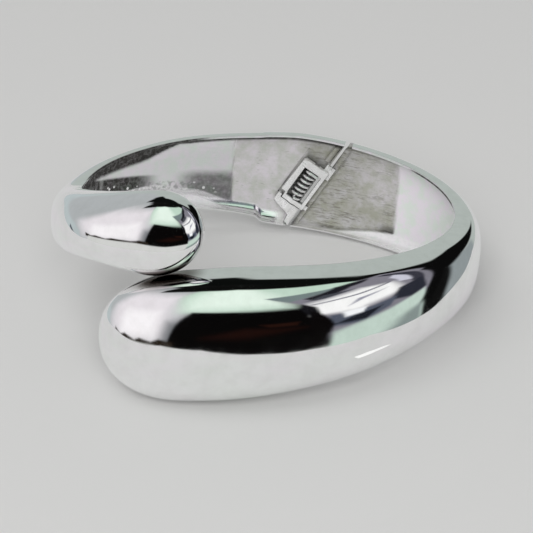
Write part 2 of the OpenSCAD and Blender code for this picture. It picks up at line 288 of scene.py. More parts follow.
def arm_rings(side, tip, cap, seam_rings=46, band_rings=150, cap_rings=44, seam_span=36, tip_turn=88):
    """Rings from the seam to the tip of the bulb. side is 1 for the lower bulb's arm, -1 for the other."""
    start = float(face_angle(side, 0.0, 0.0, np.float64(hinge_angle)))
    lip = side * seam_lip_w / math.cos(lean) / oval_speed(start)
    lip_share = 1 - seam_lip_h / measures(np.array([start]))[0, HOLLOW]
    floor_start = start + lip * 1.35
    upright = start + side * seam_span
    cap_start = tip - side * cap
    face = ring(side, start, start, share=1, hollow_share=lip_share)
    lip_ring = ring(side, start + lip, start, share=1, hollow_share=lip_share)
    inward = (lip_ring - face) / np.linalg.norm(lip_ring - face, axis=1, keepdims=True)
    rings = bevelled(face, inward)
    rings += [face + inward * seam_bevel, lip_ring, ring(side, floor_start, start, share=1)]
    for k in range(1, seam_rings + 1):
        u = k / seam_rings
        place = floor_start + (upright - floor_start) * u
        rings.append(ring(side, place, start, share=math.cos(math.pi / 2 * u)**2))
    for k in range(1, band_rings + 1):
        rings.append(ring(side, upright + (cap_start - upright) * k / band_rings, start))
    for k in range(1, cap_rings + 1):
        turn = math.radians(tip_turn * k / cap_rings)
        rings.append(ring(side, cap_start + side * cap * math.sin(turn), start, shrink=math.cos(turn)))
    return np.array(rings)


lower_rings = arm_rings(side=1, tip=227.5, cap=24)
upper_rings = arm_rings(side=-1, tip=-160, cap=14.5)
print("rings", len(lower_rings), "points", lower_rings[..., 0].size)

# %% [markdown]
# ## From rings to a mesh
#
# Neighbouring rings are joined with four-sided faces. The open end at the seam is one flat face,
# and the tip of the bulb is closed to a point. The arms stay upright and in mm for now, because
# pockets are easier to cut and spots are easier to find in that position.

# %% Skin the arms
def new_object(name, data):
    """An object for a mesh, a camera or a light, placed in the scene."""
    made = bpy.data.objects.new(name, data)
    bpy.context.scene.collection.objects.link(made)
    return made


def closed_object(name, points, faces):
    """A closed mesh object whose faces all look outwards."""
    mesh = bpy.data.meshes.new(name)
    mesh.from_pydata(points, [], faces)
    solid = bmesh.new()
    solid.from_mesh(mesh)
    bmesh.ops.recalc_face_normals(solid, faces=solid.faces)
    if solid.calc_volume(signed=True) < 0:
        bmesh.ops.reverse_faces(solid, faces=solid.faces)
    open_edges = sum(not edge.is_manifold for edge in solid.edges)
    print(name, "volume", round(solid.calc_volume(), 1), "mm3, open edges", open_edges)
    solid.to_mesh(mesh)
    solid.free()
    return new_object(name, mesh)


def faces_between(rings, count, closed=True):
    """Four-sided faces between neighbouring rings with the same count of points."""
    sides = [(j, (j + 1) % count) for j in range(count if closed else count - 1)]
    return [(i * count + j, i * count + k, (i + 1) * count + k, (i + 1) * count + j)
            for i in range(rings - 1) for j, k in sides]


def skin(name, rings):
    """A closed mesh object through rings of equal length."""
    count = rings.shape[1]
    points = [tuple(p) for p in rings.reshape(-1, 3)]
    tip = len(points)
    points.append(tuple(rings[-1].mean(0)))
    faces = faces_between(len(rings), count)
    last = (len(rings) - 1) * count
    faces += [(last + j, last + (j + 1) % count, tip) for j in range(count)]
    faces.append(tuple(range(count - 1, -1, -1)))
    return closed_object(name, points, faces)


left_piece = skin("left_arm_metal", upper_rings)
right_piece = skin("right_arm_metal", lower_rings)
print("faces", len(left_piece.data.polygons), len(right_piece.data.polygons))

# %% [markdown]
# ## Room for the hinge
#
# The hinge sits in pockets that are sunk into the arms' inner sides. On the real piece they are
# part of the casting. Here a few plain boxes are subtracted from the finished meshes, which keeps
# the arms' own curves simple. Boxes are given in the hinge's own directions: across the pin,
# outwards through the wall, and along the pin.

# %% Sink the pockets
window_low, window_high = -3.2, 2.8
window_left, window_right, frame_top = -1.6, 1.75, -0.9
frame_low, frame_high, bridge_high = -4.0, 4.1, 5.3
swing_gap, seat_clear, seat_out = 0.2, 0.05, 0.35
above_band = -8.0
right_end = 3.05


def prism(name, outline, top, bottom, place):
    """A solid with an outline given across and along, between two depths."""
    count = len(outline)
    points = [(x, depth, z) for depth in (top, bottom) for x, z in outline]
    faces = [tuple(range(count)), tuple(range(2 * count - 1, count - 1, -1))]
    faces += [(i, i + count, (i + 1) % count + count, (i + 1) % count) for i in range(count)]
    return closed_object(name, [place @ Vector(p) for p in points], faces)


def box_solid(name, left, right, top, bottom, low, high, place=in_hinge):
    """A box, in the hinge's directions unless another place is given."""
    outline = [(left, low), (right, low), (right, high), (left, high)]
    return prism(name, outline, top, bottom, place)


def subtract(piece, cutters):
    """Cuts the cutters out of a piece and removes them."""
    for cutter in cutters:
        cut = piece.modifiers.new("cut", "BOOLEAN")
        cut.operation = "DIFFERENCE"
        cut.solver = "MANIFOLD"
        cut.object = cutter
    bpy.context.view_layer.update()
    depsgraph = bpy.context.evaluated_depsgraph_get()
    mesh = bpy.data.meshes.new_from_object(piece.evaluated_get(depsgraph))
    piece.modifiers.clear()
    piece.data = mesh
    for cutter in cutters:
        bpy.data.objects.remove(cutter)


def tongue_outline(grow):
    """Outline of the knuckle and its tongue, grown at its left and lower sides."""
    right = 1.9
    return [(-2.7 - grow, -3.6), (-2.7 - grow, -5.1 - grow), (-2.1 - grow, -5.4 - grow),
            (-0.9 - grow, -5.7 - grow), (-grow, -5.9 - grow), (0.8 - grow, -6.2 - grow),
            (1.0 - grow, -7.7 - grow), (right, -7.7 - grow), (right, -4.15), (-2.05, -4.15), (-2.05, -3.6)]


# The upper rims end upright at the seam, short of its slope.
corner = (6.6, 7.9, above_band, 0.0, 7.3, 15.3)
subtract(left_piece, [
    box_solid("swing", -2.9, right_end, above_band, 1.05, frame_low - swing_gap, bridge_high + swing_gap),
    box_solid("coil_room", -1.6, right_end, above_band, 1.6,
              frame_low - swing_gap, window_high + swing_gap),
    prism("tongue_room", tongue_outline(seat_clear), above_band, seat_out, in_hinge),
    box_solid("foot_room", -1.55, right_end, above_band, 1.15, -5.65, frame_low),
    box_solid("corner_left", *corner, place=upright_hinge),
])
subtract(right_piece, [
    box_solid("bridge_seat", 0, right_end, above_band, seat_out,
              window_high - seat_clear, bridge_high + seat_clear),
    box_solid("low_seat", 0, right_end, above_band, seat_out,
              frame_low - seat_clear, window_low + seat_clear),
    box_solid("bar_seat", 0, 2.4, above_band, seat_out, frame_low, frame_high),
    box_solid("corner_right", *corner, place=upright_hinge),
])
print("faces after cutting", len(left_piece.data.polygons), len(right_piece.data.polygons))

# %% [markdown]
# ## Where each spot lies on the wall
#
# The outside of a cast bangle is polished to a mirror, but the hollow back keeps some of the skin
# it had in the mould. A material can follow that only if it knows where a spot lies. So each point
# of the mesh will store facts, called attributes in Blender, which a material reads by name. Every
# mark is a product of smooth steps along and up the wall, so the helpers for steps come first.

# %% Places on the wall
def blend(x, low, high):
    """0 below low, 1 above high, and a smooth rise between."""
    u = np.clip((x - low) / (high - low), 0, 1)
    return u * u * (3 - 2 * u)


def between(x, start, full, fade, end):
    """0 before start, 1 from full to fade, 0 after end, and smooth slopes between."""
    return blend(x, start, full) * (1 - blend(x, fade, end))


def wall_place(points):
    """Angle round the oval, and distance out from it, of upright points."""
    angle = np.degrees(np.arctan2(points[:, 0] * opening_d, points[:, 1] * opening_w))
    for _ in range(30):
        foot = wall_points(angle, 0 * angle, 0.0)[:, :2]
        turn = np.radians(angle)
        ahead = np.stack([opening_w / 2 * np.cos(turn), -opening_d / 2 * np.sin(turn)], -1)
        ahead /= np.linalg.norm(ahead, axis=1, keepdims=True)
        angle = angle + 0.6 * ((points[:, :2] - foot) * ahead).sum(1) / oval_speed(angle)
    outward = wall_points(angle, 1 + 0 * angle, 0.0)[:, :2] - foot
    return angle, ((points[:, :2] - foot) * outward).sum(1)


def store(mesh, name, kind, values):
    """Keeps one value for each point of a mesh under a name that materials can read."""
    attribute = mesh.attributes.new(name, kind, "POINT")
    field = "vector" if kind == "FLOAT_VECTOR" else "value"
    attribute.data.foreach_set(field, values.astype(np.float32).ravel())


found_angle, found_out = wall_place(wall_points(np.array([30.0]), 2.0, 0.0))
print("a point at 30 degrees, 2 mm out, is found at", found_angle.round(2), found_out.round(2))

# %% [markdown]
# ## Painted shade in the hollow backs
#
# Shade is painted into the deep corners of the hollows: a band under the left rim, patches in the
# narrow end and beside the rough stretch, thin lines along the corners and a shadow above the lip.
# Each mark is drawn with smooth steps in degrees and mm, and all add up to one fact, the painted shade.

# %% Painted shade
rough_from, rough_to = -8.0, 46.0


def lip_level(angle):
    """Where the hollow's bright lower lip begins, as a share of the hollow's half height."""
    left = -0.80 + 0.29 * blend(-angle, 8, 23) + 0.2 * blend(-angle, 23, 36)
    right = -0.97 + 0.22 * blend(angle, 24, 48)
    return np.where(angle < 10, left, right)


def painted_shade_marks(angle, level, below_rim, above_lip, seam_line):
    """How much painted shade each spot of the hollow gets, from 0 to 1. seam_line is where the corner's shade
    line is painted.
    """
    wide = 0.4 + 2.5 * blend(-angle, 20, 42)
    rim_band = (1 - blend(below_rim, wide * 0.8, wide * 1.05)) * blend(-angle, 12, 24)
    low_patch = between(angle, -29, -19, rough_from - 0.6, rough_from + 0.2) * (1 - blend(level, -1.4, 0.4))
    patch_top = 0.3 + 0.075 * (-angle - 38.7)
    tip_patch = blend(-angle, 32, 42) * between(level, -4, -2.5, patch_top - 0.4, patch_top + 0.1)
    line_top = 0.45 * between(angle, -32, -22, 30, 45) - 0.2 * blend(angle, 30, 45)
    corner_line = between(below_rim, line_top - 0.1, line_top, line_top + 0.45, line_top + 0.75) * seam_line
    bevel_line = between(below_rim, 0.75, 0.95, 1.0, 1.25) * between(angle, 14, 20, 50, 58) * (1 - seam_line)
    lip_line = between(angle, 18, 22, 45.5, 46.5) * (1 - blend(above_lip, 0.02, 0.05))
    lip_shadow = between(angle, 38, 43, 45.5, 46.5) * (1 - blend(above_lip, 0.06, 0.2))
    # Every mark is painted shade, darkest in the band under the rim and in the corner line.
    marks = ((0.98, rim_band), (0.72, low_patch), (0.95, tip_patch), (0.98, corner_line),
             (0.45, bevel_line), (0.35, lip_line), (0.6, lip_shadow))
    return np.clip(sum(strength * mark for strength, mark in marks), 0, 1)


print("the lip begins at", lip_level(np.array([-40, 0, 60])).round(2), "of the half height")

# %% [markdown]
# ## Finishes in the hollow backs
#
# The left hollow is plated and a little glossy, both sides of the hinge are rough, with file marks
# to the right of it, and the far right is satin. The lower lip gets a painted highlight, and the edge
# of the upper rim is paler and duller. The facts run from 0 to 1: how far a spot belongs to the
# casting's skin, how matte, filed and bright it is, how much painted shade it has, and whether it
# lies on the lip or in a band of specks and painted sparkles.

# %% Finishes
polished_matte, rough_matte, satin_matte, lip_matte = 0.32, 1.0, 0.62, 0.55
left_lip_matte, mirror_matte = 0.2, 0.06


def hollow_regions(angle, out, height):
    """Level up the wall, half height of the hollow, and where its skin, lip and rim edge lie."""
    m = measures(angle)
    half = m[:, HEIGHT] / 2
    inner_half = half - edge_r
    level = height - m[:, MID]
    dome = np.maximum(0, 1 - np.abs(level / half)**band_dome)**(1 / m[:, SHOULDER])
    skin_out = edge_r + (m[:, THICK] - edge_r) * dome
    inside = blend(skin_out - out, 0.1, 0.25) * (1 - blend(np.abs(level), inner_half - 0.1, inner_half + 0.1))
    casting = inside * blend(m[:, HOLLOW], 0.2, 0.8)
    on_lip = blend(lip_level(angle) - level / inner_half, 0, 0.05) * (1 - between(angle, 5, 9, 20, 26))
    rim_edge = (blend(level, inner_half - 0.1, inner_half + 0.02) * (1 - blend(out, 0.16, 0.27))
                * between(angle, -82, -74, 84, 92))
    return level, inner_half, np.maximum(casting, rim_edge), on_lip, rim_edge


def surface_facts(angle, out, height, plain_from):
    """All facts by name. From the angle plain_from to 50 degrees the upper corner has no painted shade line.
    """
    level, inner_half, casting, on_lip, rim_edge = hollow_regions(angle, out, height)
    above_lip = level / inner_half - lip_level(angle)
    glossy = 1 - blend(angle, rough_from - 0.1, rough_from + 0.5)
    bright = 1 - blend(angle, rough_from - 0.7, rough_from - 0.1)
    satin = blend(angle, rough_to - 0.6, rough_to + 0.6)
    filed = blend(angle, 10, 17) * (1 - satin) * (1 - 0.6 * blend(angle, 26, 40) * blend(level, -6, 2))
    bare_lip = between(angle, rough_from - 2, rough_from, 5, 9)
    left_lip = (1 - blend(angle, rough_from - 2, rough_from)) * (1 - blend(-above_lip, 0.16, 0.26))
    lip = lip_matte + (mirror_matte - lip_matte) * bare_lip + (left_lip_matte - lip_matte) * left_lip
    matte = rough_matte + (polished_matte - rough_matte) * glossy + (satin_matte - rough_matte) * satin
    matte += (lip - matte) * on_lip
    matte += (lip_matte - matte) * rim_edge
    seam_line = 1 - blend(angle, plain_from, plain_from + 2) + blend(angle, 50, 58)
    # A painted highlight: a thin bright line down the narrow end of the hollow.
    tip_glint = casting * (1 - blend(np.abs(angle + 59.3), 0.1, 0.6)) * (1 - blend(level, 2.2, 2.8))
    # Painted shade in the corners, kept off the lip and the painted highlight.
    stain = painted_shade_marks(angle, level, inner_half - level, above_lip, seam_line)
    stain = casting * stain * (1 - on_lip) * (1 - tip_glint)
    band_top = -2.2 - 0.062 * (angle + 18)
    # A band above the lip for dark specks and painted sparkles.
    spark = between(level, band_top - 1.9, band_top - 1.4, band_top - 0.3, band_top) * blend(-angle, 10, 16)
    return {
        "casting": casting,
        "matte": casting * matte,
        "filed": filed * (1 - on_lip) * (1 - rim_edge),
        # bright marks the pale finishes and, on the lip, a painted highlight; lip makes that highlight nearly
        # white.
        "bright": np.clip(bright + satin + on_lip + rim_edge, 0, 1),
        "stain": np.maximum(stain, 0.3 * rim_edge),
        "lip": np.maximum(casting * on_lip * (1 - bare_lip), 0.8 * tip_glint),
        "spark": casting * spark,
    }


print("facts", sorted(surface_facts(np.array([0.0]), np.array([1.0]), np.array([1.0]), 48)))

# %% [markdown]
# ## Facts on the meshes
#
# Two more facts come from the neighbours. Hardly any light gets under the coil, so the wall there
# is shaded. Where the bulbs nearly touch, each mirrors only the dark gap between them, so that dark
# reflection is painted on: points at the front measure their distance to the other arm with a BVH
# tree, which searches quickly.

# %% Store the facts
coil_shade_half_w, coil_shade_half_h, coil_shade_from = 1.8, 3.6, 0.5


def mark_surface(piece, turn_more, plain_from):
    """Stores the facts on a piece. Angles below -100 degrees are turned on by turn_more."""
    mesh = piece.data
    points = np.empty(3 * len(mesh.vertices), np.float32)
    mesh.vertices.foreach_get("co", points)
    points = points.reshape(-1, 3).astype(float)
    angle, out = wall_place(points)
    angle = np.where(angle < -100, angle + turn_more, angle)
    store(mesh, "wall", "FLOAT_VECTOR", np.stack([angle * 0.5, out, points[:, 2]], -1))
    facts = surface_facts(angle, out, points[:, 2], plain_from)
    for name, values in facts.items():
        store(mesh, name, "FLOAT", values)
    to_hinge = np.array(in_hinge.inverted())
    across, outward, along = (points @ to_hinge[:3, :3].T + to_hinge[:3, 3]).T
    under_coil = ((np.abs(across) < coil_shade_half_w) & (np.abs(along) < coil_shade_half_h)
                  & (outward > coil_shade_from) & (facts["casting"] > 0.5))
    store(mesh, "shade", "FLOAT", under_coil.astype(float))
    print(piece.name, "casting on", round(100 * float((facts["casting"] > 0.5).mean())), "% of the points")


def mark_closeness(piece, other, near=0.9, far=3.2, front=-5.0, strength=0.9):
    """Stores a painted shade at the front where the other arm comes near: full within near mm."""
    shape = other.data
    nearby = BVHTree.FromPolygons([v.co for v in shape.vertices], [face.vertices for face in shape.polygons])
    reach = np.full(len(piece.data.vertices), far)
    for i, vertex in enumerate(piece.data.vertices):
        if vertex.co.y < front:
            distance = nearby.find_nearest(vertex.co, far)[3]
            reach[i] = far if distance is None else distance
    store(piece.data, "close", "FLOAT", strength * (1 - blend(reach, near, far)))
    print(piece.name, "comes within", round(float(reach.min()), 2), "mm of the other arm at the front")


mark_surface(left_piece, turn_more=0, plain_from=48)
mark_surface(right_piece, turn_more=360, plain_from=-90)
mark_closeness(left_piece, right_piece)
mark_closeness(right_piece, left_piece)

# %% [markdown]
# ## Arms at rest
#
# Now the arms are turned and scaled to the place where the packed model lies, and take over from
# its plain arms. Each rides on its body. Edges above 35 degrees stay sharp, which keeps the pockets
# crisp while the bulbs are shaded round.

# %% Place the arms
def shade_smooth(mesh, sharp_above=None):
    """Smooth shading. Edges whose faces meet at more than an angle, in degrees, stay sharp."""
    for face in mesh.polygons:
        face.use_smooth = True
    if sharp_above is not None:
        mesh.set_sharp_from_angle(angle=math.radians(sharp_above))


for piece in (left_piece, right_piece):
    piece.data.transform(at_rest)
    shade_smooth(piece.data, sharp_above=35)
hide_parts("left_arm")
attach(left_piece, "upper_side")
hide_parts("right_arm")
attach(right_piece, "lower_side")
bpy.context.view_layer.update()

# %% [markdown]
# ## The coil
#
# A torsion spring is one round wire, wound in six turns round the pin, with a straight leg at its
# upper end that pushes against the frame. The packed model has a coarse wire. Here a circle is
# carried along the same path without twist, which gives a smooth one.

# %% Coil
def tube(name, path, radius, sides=14):
    """A round wire along a path of points, closed with rounded ends."""
    path = np.array(path, float)
    ahead = np.gradient(path, axis=0)
    ahead /= np.linalg.norm(ahead, axis=1, keepdims=True)
    turn = np.linspace(0, 2 * math.pi, sides, endpoint=False)
    any_other_way = [0.3, 0.2, 1.0]
    side = np.cross(ahead[0], any_other_way)
    circles = []
    for forward in ahead:
        side = side - forward * (side @ forward)
        side /= np.linalg.norm(side)
        circles.append(np.cos(turn)[:, None] * side + np.sin(turn)[:, None] * np.cross(forward, side))
    caps = [(radius * math.cos(t), radius * math.sin(t)) for t in np.radians((15, 40, 65))]
    rings = [path[0] - ahead[0] * reach + circles[0] * wide for reach, wide in caps]
    rings += [middle + circle * radius for middle, circle in zip(path, circles)]
    rings += [path[-1] + ahead[-1] * reach + circles[-1] * wide for reach, wide in caps[::-1]]
    points = [tuple(p) for ring in rings for p in ring]
    ends = [tuple(range(sides)), tuple(range(len(points) - sides, len(points)))]
    return closed_object(name, points, faces_between(len(rings), sides) + ends)


wire_d, coil_d, coil_turns, turn_steps = 0.5, 2.6, 6, 40
coil_reach = (coil_d - wire_d) / 2
coil_low, coil_high = window_low + 0.35, window_high - 0.35
leg_length, leg_steps = 1.35, 6
coil = []
for k in range(coil_turns * turn_steps + 1):
    turn = 2 * math.pi * k / turn_steps - math.pi / 2
    rise = (coil_high - coil_low) * k / (coil_turns * turn_steps)
    coil.append((coil_reach * math.cos(turn), coil_reach * math.sin(turn), coil_low + rise))
coil += [(leg_length * k / leg_steps, -coil_reach, coil_high) for k in range(1, leg_steps + 1)]
spring_piece = tube("hinge_spring_wire", coil, wire_d / 2)
spring_piece.data.transform(at_rest @ in_hinge)
shade_smooth(spring_piece.data)
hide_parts("hinge_spring")

# %% [markdown]
# ## The hinge with softened edges
#
# The hinge's other parts come from the packed model, whose edges are perfectly sharp. A real edge
# is a tiny rounding that catches a line of light. So each part is copied, its flat faces are
# merged and its edges are bevelled. The frame's window traps light, so the points on its inner
# faces store the same shade as the wall under the coil.

# %% Hinge parts
def softened(node, width, name):
    """A copy of a packed node's mesh with merged flat faces and bevelled edges. width is in mm."""
    source = frame["nodes"][node]
    mesh = source.data.copy()
    mesh.transform(source.matrix_world)
    shape = bmesh.new()
    shape.from_mesh(mesh)
    bmesh.ops.remove_doubles(shape, verts=shape.verts, dist=0.001 * MM)
    bmesh.ops.dissolve_limit(shape, angle_limit=math.radians(1), verts=shape.verts, edges=shape.edges)
    crisp = [edge for edge in shape.edges if edge.is_manifold and edge.calc_face_angle() > math.radians(40)]
    bmesh.ops.bevel(shape, geom=crisp, offset=width * MM, segments=3, profile=0.5, affect="EDGES",
                    clamp_overlap=True)
    shape.to_mesh(mesh)
    shape.free()
    shade_smooth(mesh, sharp_above=32)
    mesh.materials.clear()
    piece = new_object(name, mesh)
    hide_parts(node)
    print(name, "faces", len(mesh.polygons))
    return piece


def inside_window(spot, reach=0.01):
    """Whether a spot, in the hinge's directions, lies on the inner faces of the frame's window."""
    return (window_left - reach < spot.x < window_right + reach
            and window_low - reach < spot.z < window_high + reach and spot.y > frame_top + 0.1)


frame_piece = softened("hinge_frame", 0.13, "hinge_frame_metal")
to_hinge = (at_rest @ in_hinge).inverted()
in_window = np.array([inside_window(to_hinge @ vertex.co) for vertex in frame_piece.data.vertices])
store(frame_piece.data, "shade", "FLOAT", in_window)
print("points inside the window", int(in_window.sum()))
knuckle_piece = softened("hinge_knuckle", 0.11, "hinge_knuckle_metal")
pin_piece = softened("hinge_pin", 0.08, "hinge_pin_metal")
for piece, body, slot in ((frame_piece, "lower_side", "hinge_metal"),
                          (knuckle_piece, "upper_side", "hinge_metal"),
                          (pin_piece, "upper_side", "spring_steel"),
                          (spring_piece, "lower_side", "spring_steel")):
    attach(piece, body)

# %% [markdown]
# ## A small kit for finishes
#
# A finish is a network of nodes. Each looks up a fact, makes a pattern or mixes two colours. A
# small class keeps that short: each method adds a node, sets its inputs to constants or to the
# outputs of other nodes, and gives back its own output. Colours are linear red, green and blue.

# %% Nodes
class Finish:
    """A material under construction, with short methods for the nodes that it needs."""

    def __init__(self, name):
        self.material = bpy.data.materials.new(name)
        self.material.use_nodes = True
        self.tree = self.material.node_tree

    def feed(self, socket, value):
        """Links a socket to another node's output, or sets it to a constant."""
        if isinstance(value, bpy.types.NodeSocket):
            self.tree.links.new(value, socket)
        else:
            socket.default_value = (*value, 1) if socket.type == "RGBA" else value

    def node(self, kind, output, inputs, **settings):
        """Adds a node. Inputs and the output are picked by their names or their numbers."""
        made = self.tree.nodes.new("ShaderNode" + kind)
        for name, value in settings.items():
            setattr(made, name, value)
        for key, value in inputs.items():
            self.feed(made.inputs[key], value)
        return made.outputs[output]

    def surface(self, name, value):
        """Feeds one input of the surface itself."""
        self.feed(self.tree.nodes["Principled BSDF"].inputs[name], value)

    def fact(self, name, output="Fac"):
        return self.node("Attribute", output, {}, attribute_name=name)

    def place(self):
        return self.node("TexCoord", "Object", {})

    def noise(self, place, scale, detail, roughness=0.5, distortion=0.0):
        return self.node("TexNoise", "Fac", {"Vector": place, "Scale": scale, "Detail": detail,
                                             "Roughness": roughness, "Distortion": distortion})

    def openness(self, reach):
        """How open the surroundings are within a reach in mm. A corner is hardly open."""
        return self.node("AmbientOcclusion", "AO", {"Distance": reach * MM}, samples=8)

    def bump(self, height, strength, depth, **over):
        """A bumpy surface from a pattern. Its depth is in mm. It may lie over another Normal."""
        return self.node("Bump", "Normal", {"Height": height, "Strength": strength,
                                            "Distance": depth * MM, **over})

    def mix(self, share, first, second):
        return self.node("Mix", 2, {0: share, 6: first, 7: second}, data_type="RGBA")

    def ranged(self, value, low, high, to_low=0.0, to_high=1.0):
        """A value moved from one range to another and kept within it."""
        return self.node("MapRange", "Result", {"Value": value, "From Min": low, "From Max": high,
                                                "To Min": to_low, "To Max": to_high})

    def maths(self, first, operation, second):
        return self.node("Math", 0, {0: first, 1: second}, operation=operation)

    def times(self, first, second):
        return self.maths(first, "MULTIPLY", second)


print("a finish can add", [name for name in vars(Finish) if not name.startswith("_")])

# %% [markdown]
# ## Metal that has been worn
#
# The plating is nearly a perfect mirror, with a slow ripple from the polishing wheel, faint smudges
# and painted shade where the bulbs nearly touch. Where the facts say that a spot belongs to the
# casting's skin, the nodes turn to a duller grey with blotches, file marks along the wall and pits,
# with painted shade in the corners, painted sparkles and a painted highlight on the lip. The hinge's
# parts are too small for all that: they get a tarnish in blotches and painted shade in tight corners.

# %% Metal
def casting_skin(new, wall, along, marks):
    """The hollow backs: rough and filed, satin or glossy, with painted shade and painted highlights."""
    blotch = new.noise(wall, scale=0.45, detail=5.0, roughness=0.65)
    pits = new.node("TexVoronoi", "Distance", {"Vector": along, "Scale": 0.9})
    pitted = new.ranged(pits, 0.05, 0.16, 1.0, 0.0)
    pale = new.mix(new.ranged(blotch, 0.38, 0.62), (0.63, 0.64, 0.60), (0.80, 0.76, 0.80))
    dull = new.mix(new.ranged(blotch, 0.38, 0.62), (0.42, 0.42, 0.35), (0.57, 0.56, 0.56))
    rough = new.mix(new.fact("filed"), pale, dull)
    streaks = new.times(new.ranged(marks, 0.5, 0.62, 0.0, 0.85), new.fact("filed"))
    patches = new.noise(wall, scale=0.25, detail=2.0)
    streaks = new.times(streaks, new.ranged(patches, 0.42, 0.58, 0.25, 1.0))
    rough = new.mix(streaks, rough, (0.24, 0.23, 0.20))
    rough = new.mix(new.times(pitted, 0.5), rough, (0.12, 0.11, 0.10))
    satin = new.mix(new.ranged(blotch, 0.4, 0.6), (0.87, 0.93, 0.88), (0.96, 0.91, 0.97))
    skin = new.mix(new.fact("bright"), rough, satin)
    speckle = new.noise(wall, scale=1.3, detail=3.5, roughness=0.6)
    # A painted highlight on the lip, nearly white.
    lip = new.times(new.fact("lip"), new.ranged(speckle, 0.4, 0.55, 0.3, 1.0))
    skin = new.mix(lip, skin, (1.0, 0.985, 1.0))
    # Painted shade in the corners, mottled.
    mottled = new.ranged(speckle, 0.35, 0.6, 0.88, 1.06)
    skin = new.mix(new.times(new.fact("stain"), mottled), skin, (0.035, 0.033, 0.03))
    specks = new.ranged(new.noise(wall, scale=1.6, detail=2.0), 0.48, 0.6, 0.0, 0.45)
    skin = new.mix(new.times(specks, new.fact("spark")), skin, (0.10, 0.13, 0.10))
    # Painted sparkles: small white highlights in the band above the lip.
    painted_sparkles = new.node("TexVoronoi", "Distance", {"Vector": wall, "Scale": 1.0})
    painted_sparkles = new.ranged(painted_sparkles, 0.2, 0.3, 1.0, 0.0)
    skin = new.mix(new.times(painted_sparkles, new.fact("spark")), skin, (1, 1, 1))
    # Painted shade in tight corners, from ambient occlusion.
    corner_shade = new.ranged(new.openness(0.9), 0.3, 0.85, 0.8, 0.0)
    return new.mix(corner_shade, skin, (0.05, 0.045, 0.04))


def polished_casting():
    """Mirror plating outside and the casting's skin inside, by the facts on the mesh."""
    new = Finish("polished_metal")
    wall = new.fact("wall", "Vector")
    casting = new.fact("casting")
    matte = new.fact("matte")
    place = new.place()
    ripple = new.noise(place, scale=130.0, detail=1.0)
    smudge = new.noise(place, scale=420.0, detail=5.0, roughness=0.6)
    along = new.node("Mapping", "Vector", {"Vector": wall, "Scale": (0.55, 0.3, 3.2)})
    marks = new.noise(along, scale=1.0, detail=4.0, roughness=0.65, distortion=0.8)
    skin = casting_skin(new, wall, along, marks)
    plate = new.mix(new.ranged(smudge, 0.4, 0.75), (0.93, 0.93, 0.925), (0.86, 0.86, 0.85))
    # Painted shade where the bulbs nearly touch, for the dark gap they mirror.
    plate = new.mix(new.fact("close"), plate, (0.10, 0.075, 0.065))
    colour = new.mix(casting, plate, skin)
    colour = new.mix(new.fact("shade"), colour, (0.02, 0.02, 0.02))
    new.surface("Base Color", colour)
    new.surface("Metallic", new.ranged(matte, 0.1, 0.6, 1.0, 0.15))
    smooth = new.ranged(smudge, 0.35, 0.75, 0.03, 0.075)
    new.surface("Roughness", new.maths(smooth, "ADD", new.times(matte, 0.5)))
    waves = new.bump(ripple, strength=1.0, depth=0.02)
    new.surface("Normal", new.bump(marks, strength=matte, depth=0.1, Normal=waves))
    return new.material


def bright_part(name, colour, tarnish, roughness, metallic, corner_shade_reach):
    """Small plain metal parts, darker and rougher in blotches. Painted shade in corners reaches that far in
    mm.
    """
    new = Finish(name)
    place = new.place()
    blotch = new.noise(place, scale=900.0, detail=4.0, roughness=0.6)
    metal = new.mix(new.ranged(blotch, 0.4, 0.7), colour, tarnish)
    # Painted shade in tight corners, from ambient occlusion.
    corner_shade = new.ranged(new.openness(corner_shade_reach), 0.35, 0.8, 0.97, 0.0)
    metal = new.mix(corner_shade, metal, (0.02, 0.018, 0.016))
    metal = new.mix(new.fact("shade"), metal, (0.03, 0.03, 0.03))
    new.surface("Base Color", metal)
    new.surface("Roughness", new.ranged(blotch, 0.3, 0.7, roughness * 0.7, roughness * 1.6))
    new.surface("Metallic", metallic)
    fine = new.noise(place, scale=3000.0, detail=2.0)
    new.surface("Normal", new.bump(fine, strength=0.5, depth=0.01))
    return new.material


polished = polished_casting()
hinge_metal = bright_part("hinge_metal", colour=(1.0, 1.0, 1.0), tarnish=(0.9, 0.89, 0.88),
                          roughness=0.25, metallic=0.4, corner_shade_reach=0.9)
spring_steel = bright_part("spring_steel", colour=(0.95, 0.95, 0.95), tarnish=(0.74, 0.73, 0.72),
                           roughness=0.14, metallic=0.8, corner_shade_reach=0.7)
for piece, material in ((left_piece, polished), (right_piece, polished),
                        (frame_piece, hinge_metal), (knuckle_piece, hinge_metal),
                        (pin_piece, spring_steel), (spring_piece, spring_steel)):
    piece.data.materials.clear()
    piece.data.materials.append(material)
print("materials", sorted(material.name for material in bpy.data.materials))

# %% [markdown]
# ## The camera
#
# The camera stands above the floor in front of the bangle and looks down at it, as the photographer
# did. A long lens from some way off keeps the oval from looking stretched.

# %% Camera
camera = new_object("camera", bpy.data.cameras.new("camera"))
bpy.context.scene.camera = camera
view_up, view_round, view_roll = math.radians(30.265), math.radians(-1.751), math.radians(-1.105)
view_distance = 395.4 * MM
look_at = Vector((-0.42, -3.70, 10.39)) * MM
away = Vector((math.sin(view_round) * math.cos(view_up), -math.cos(view_round) * math.cos(view_up),
               math.sin(view_up)))
camera.location = look_at + away * view_distance
camera.rotation_mode = "QUATERNION"
upright_view = (-away).to_track_quat("-Z", "Y")
camera.rotation_quaternion = upright_view @ Matrix.Rotation(view_roll, 3, "Z").to_quaternion()
camera.data.sensor_width = 36
camera.data.lens = 166.37
camera.data.clip_start = 0.01
camera.data.clip_end = 20
print("camera at", [round(x / MM) for x in camera.location], "mm")

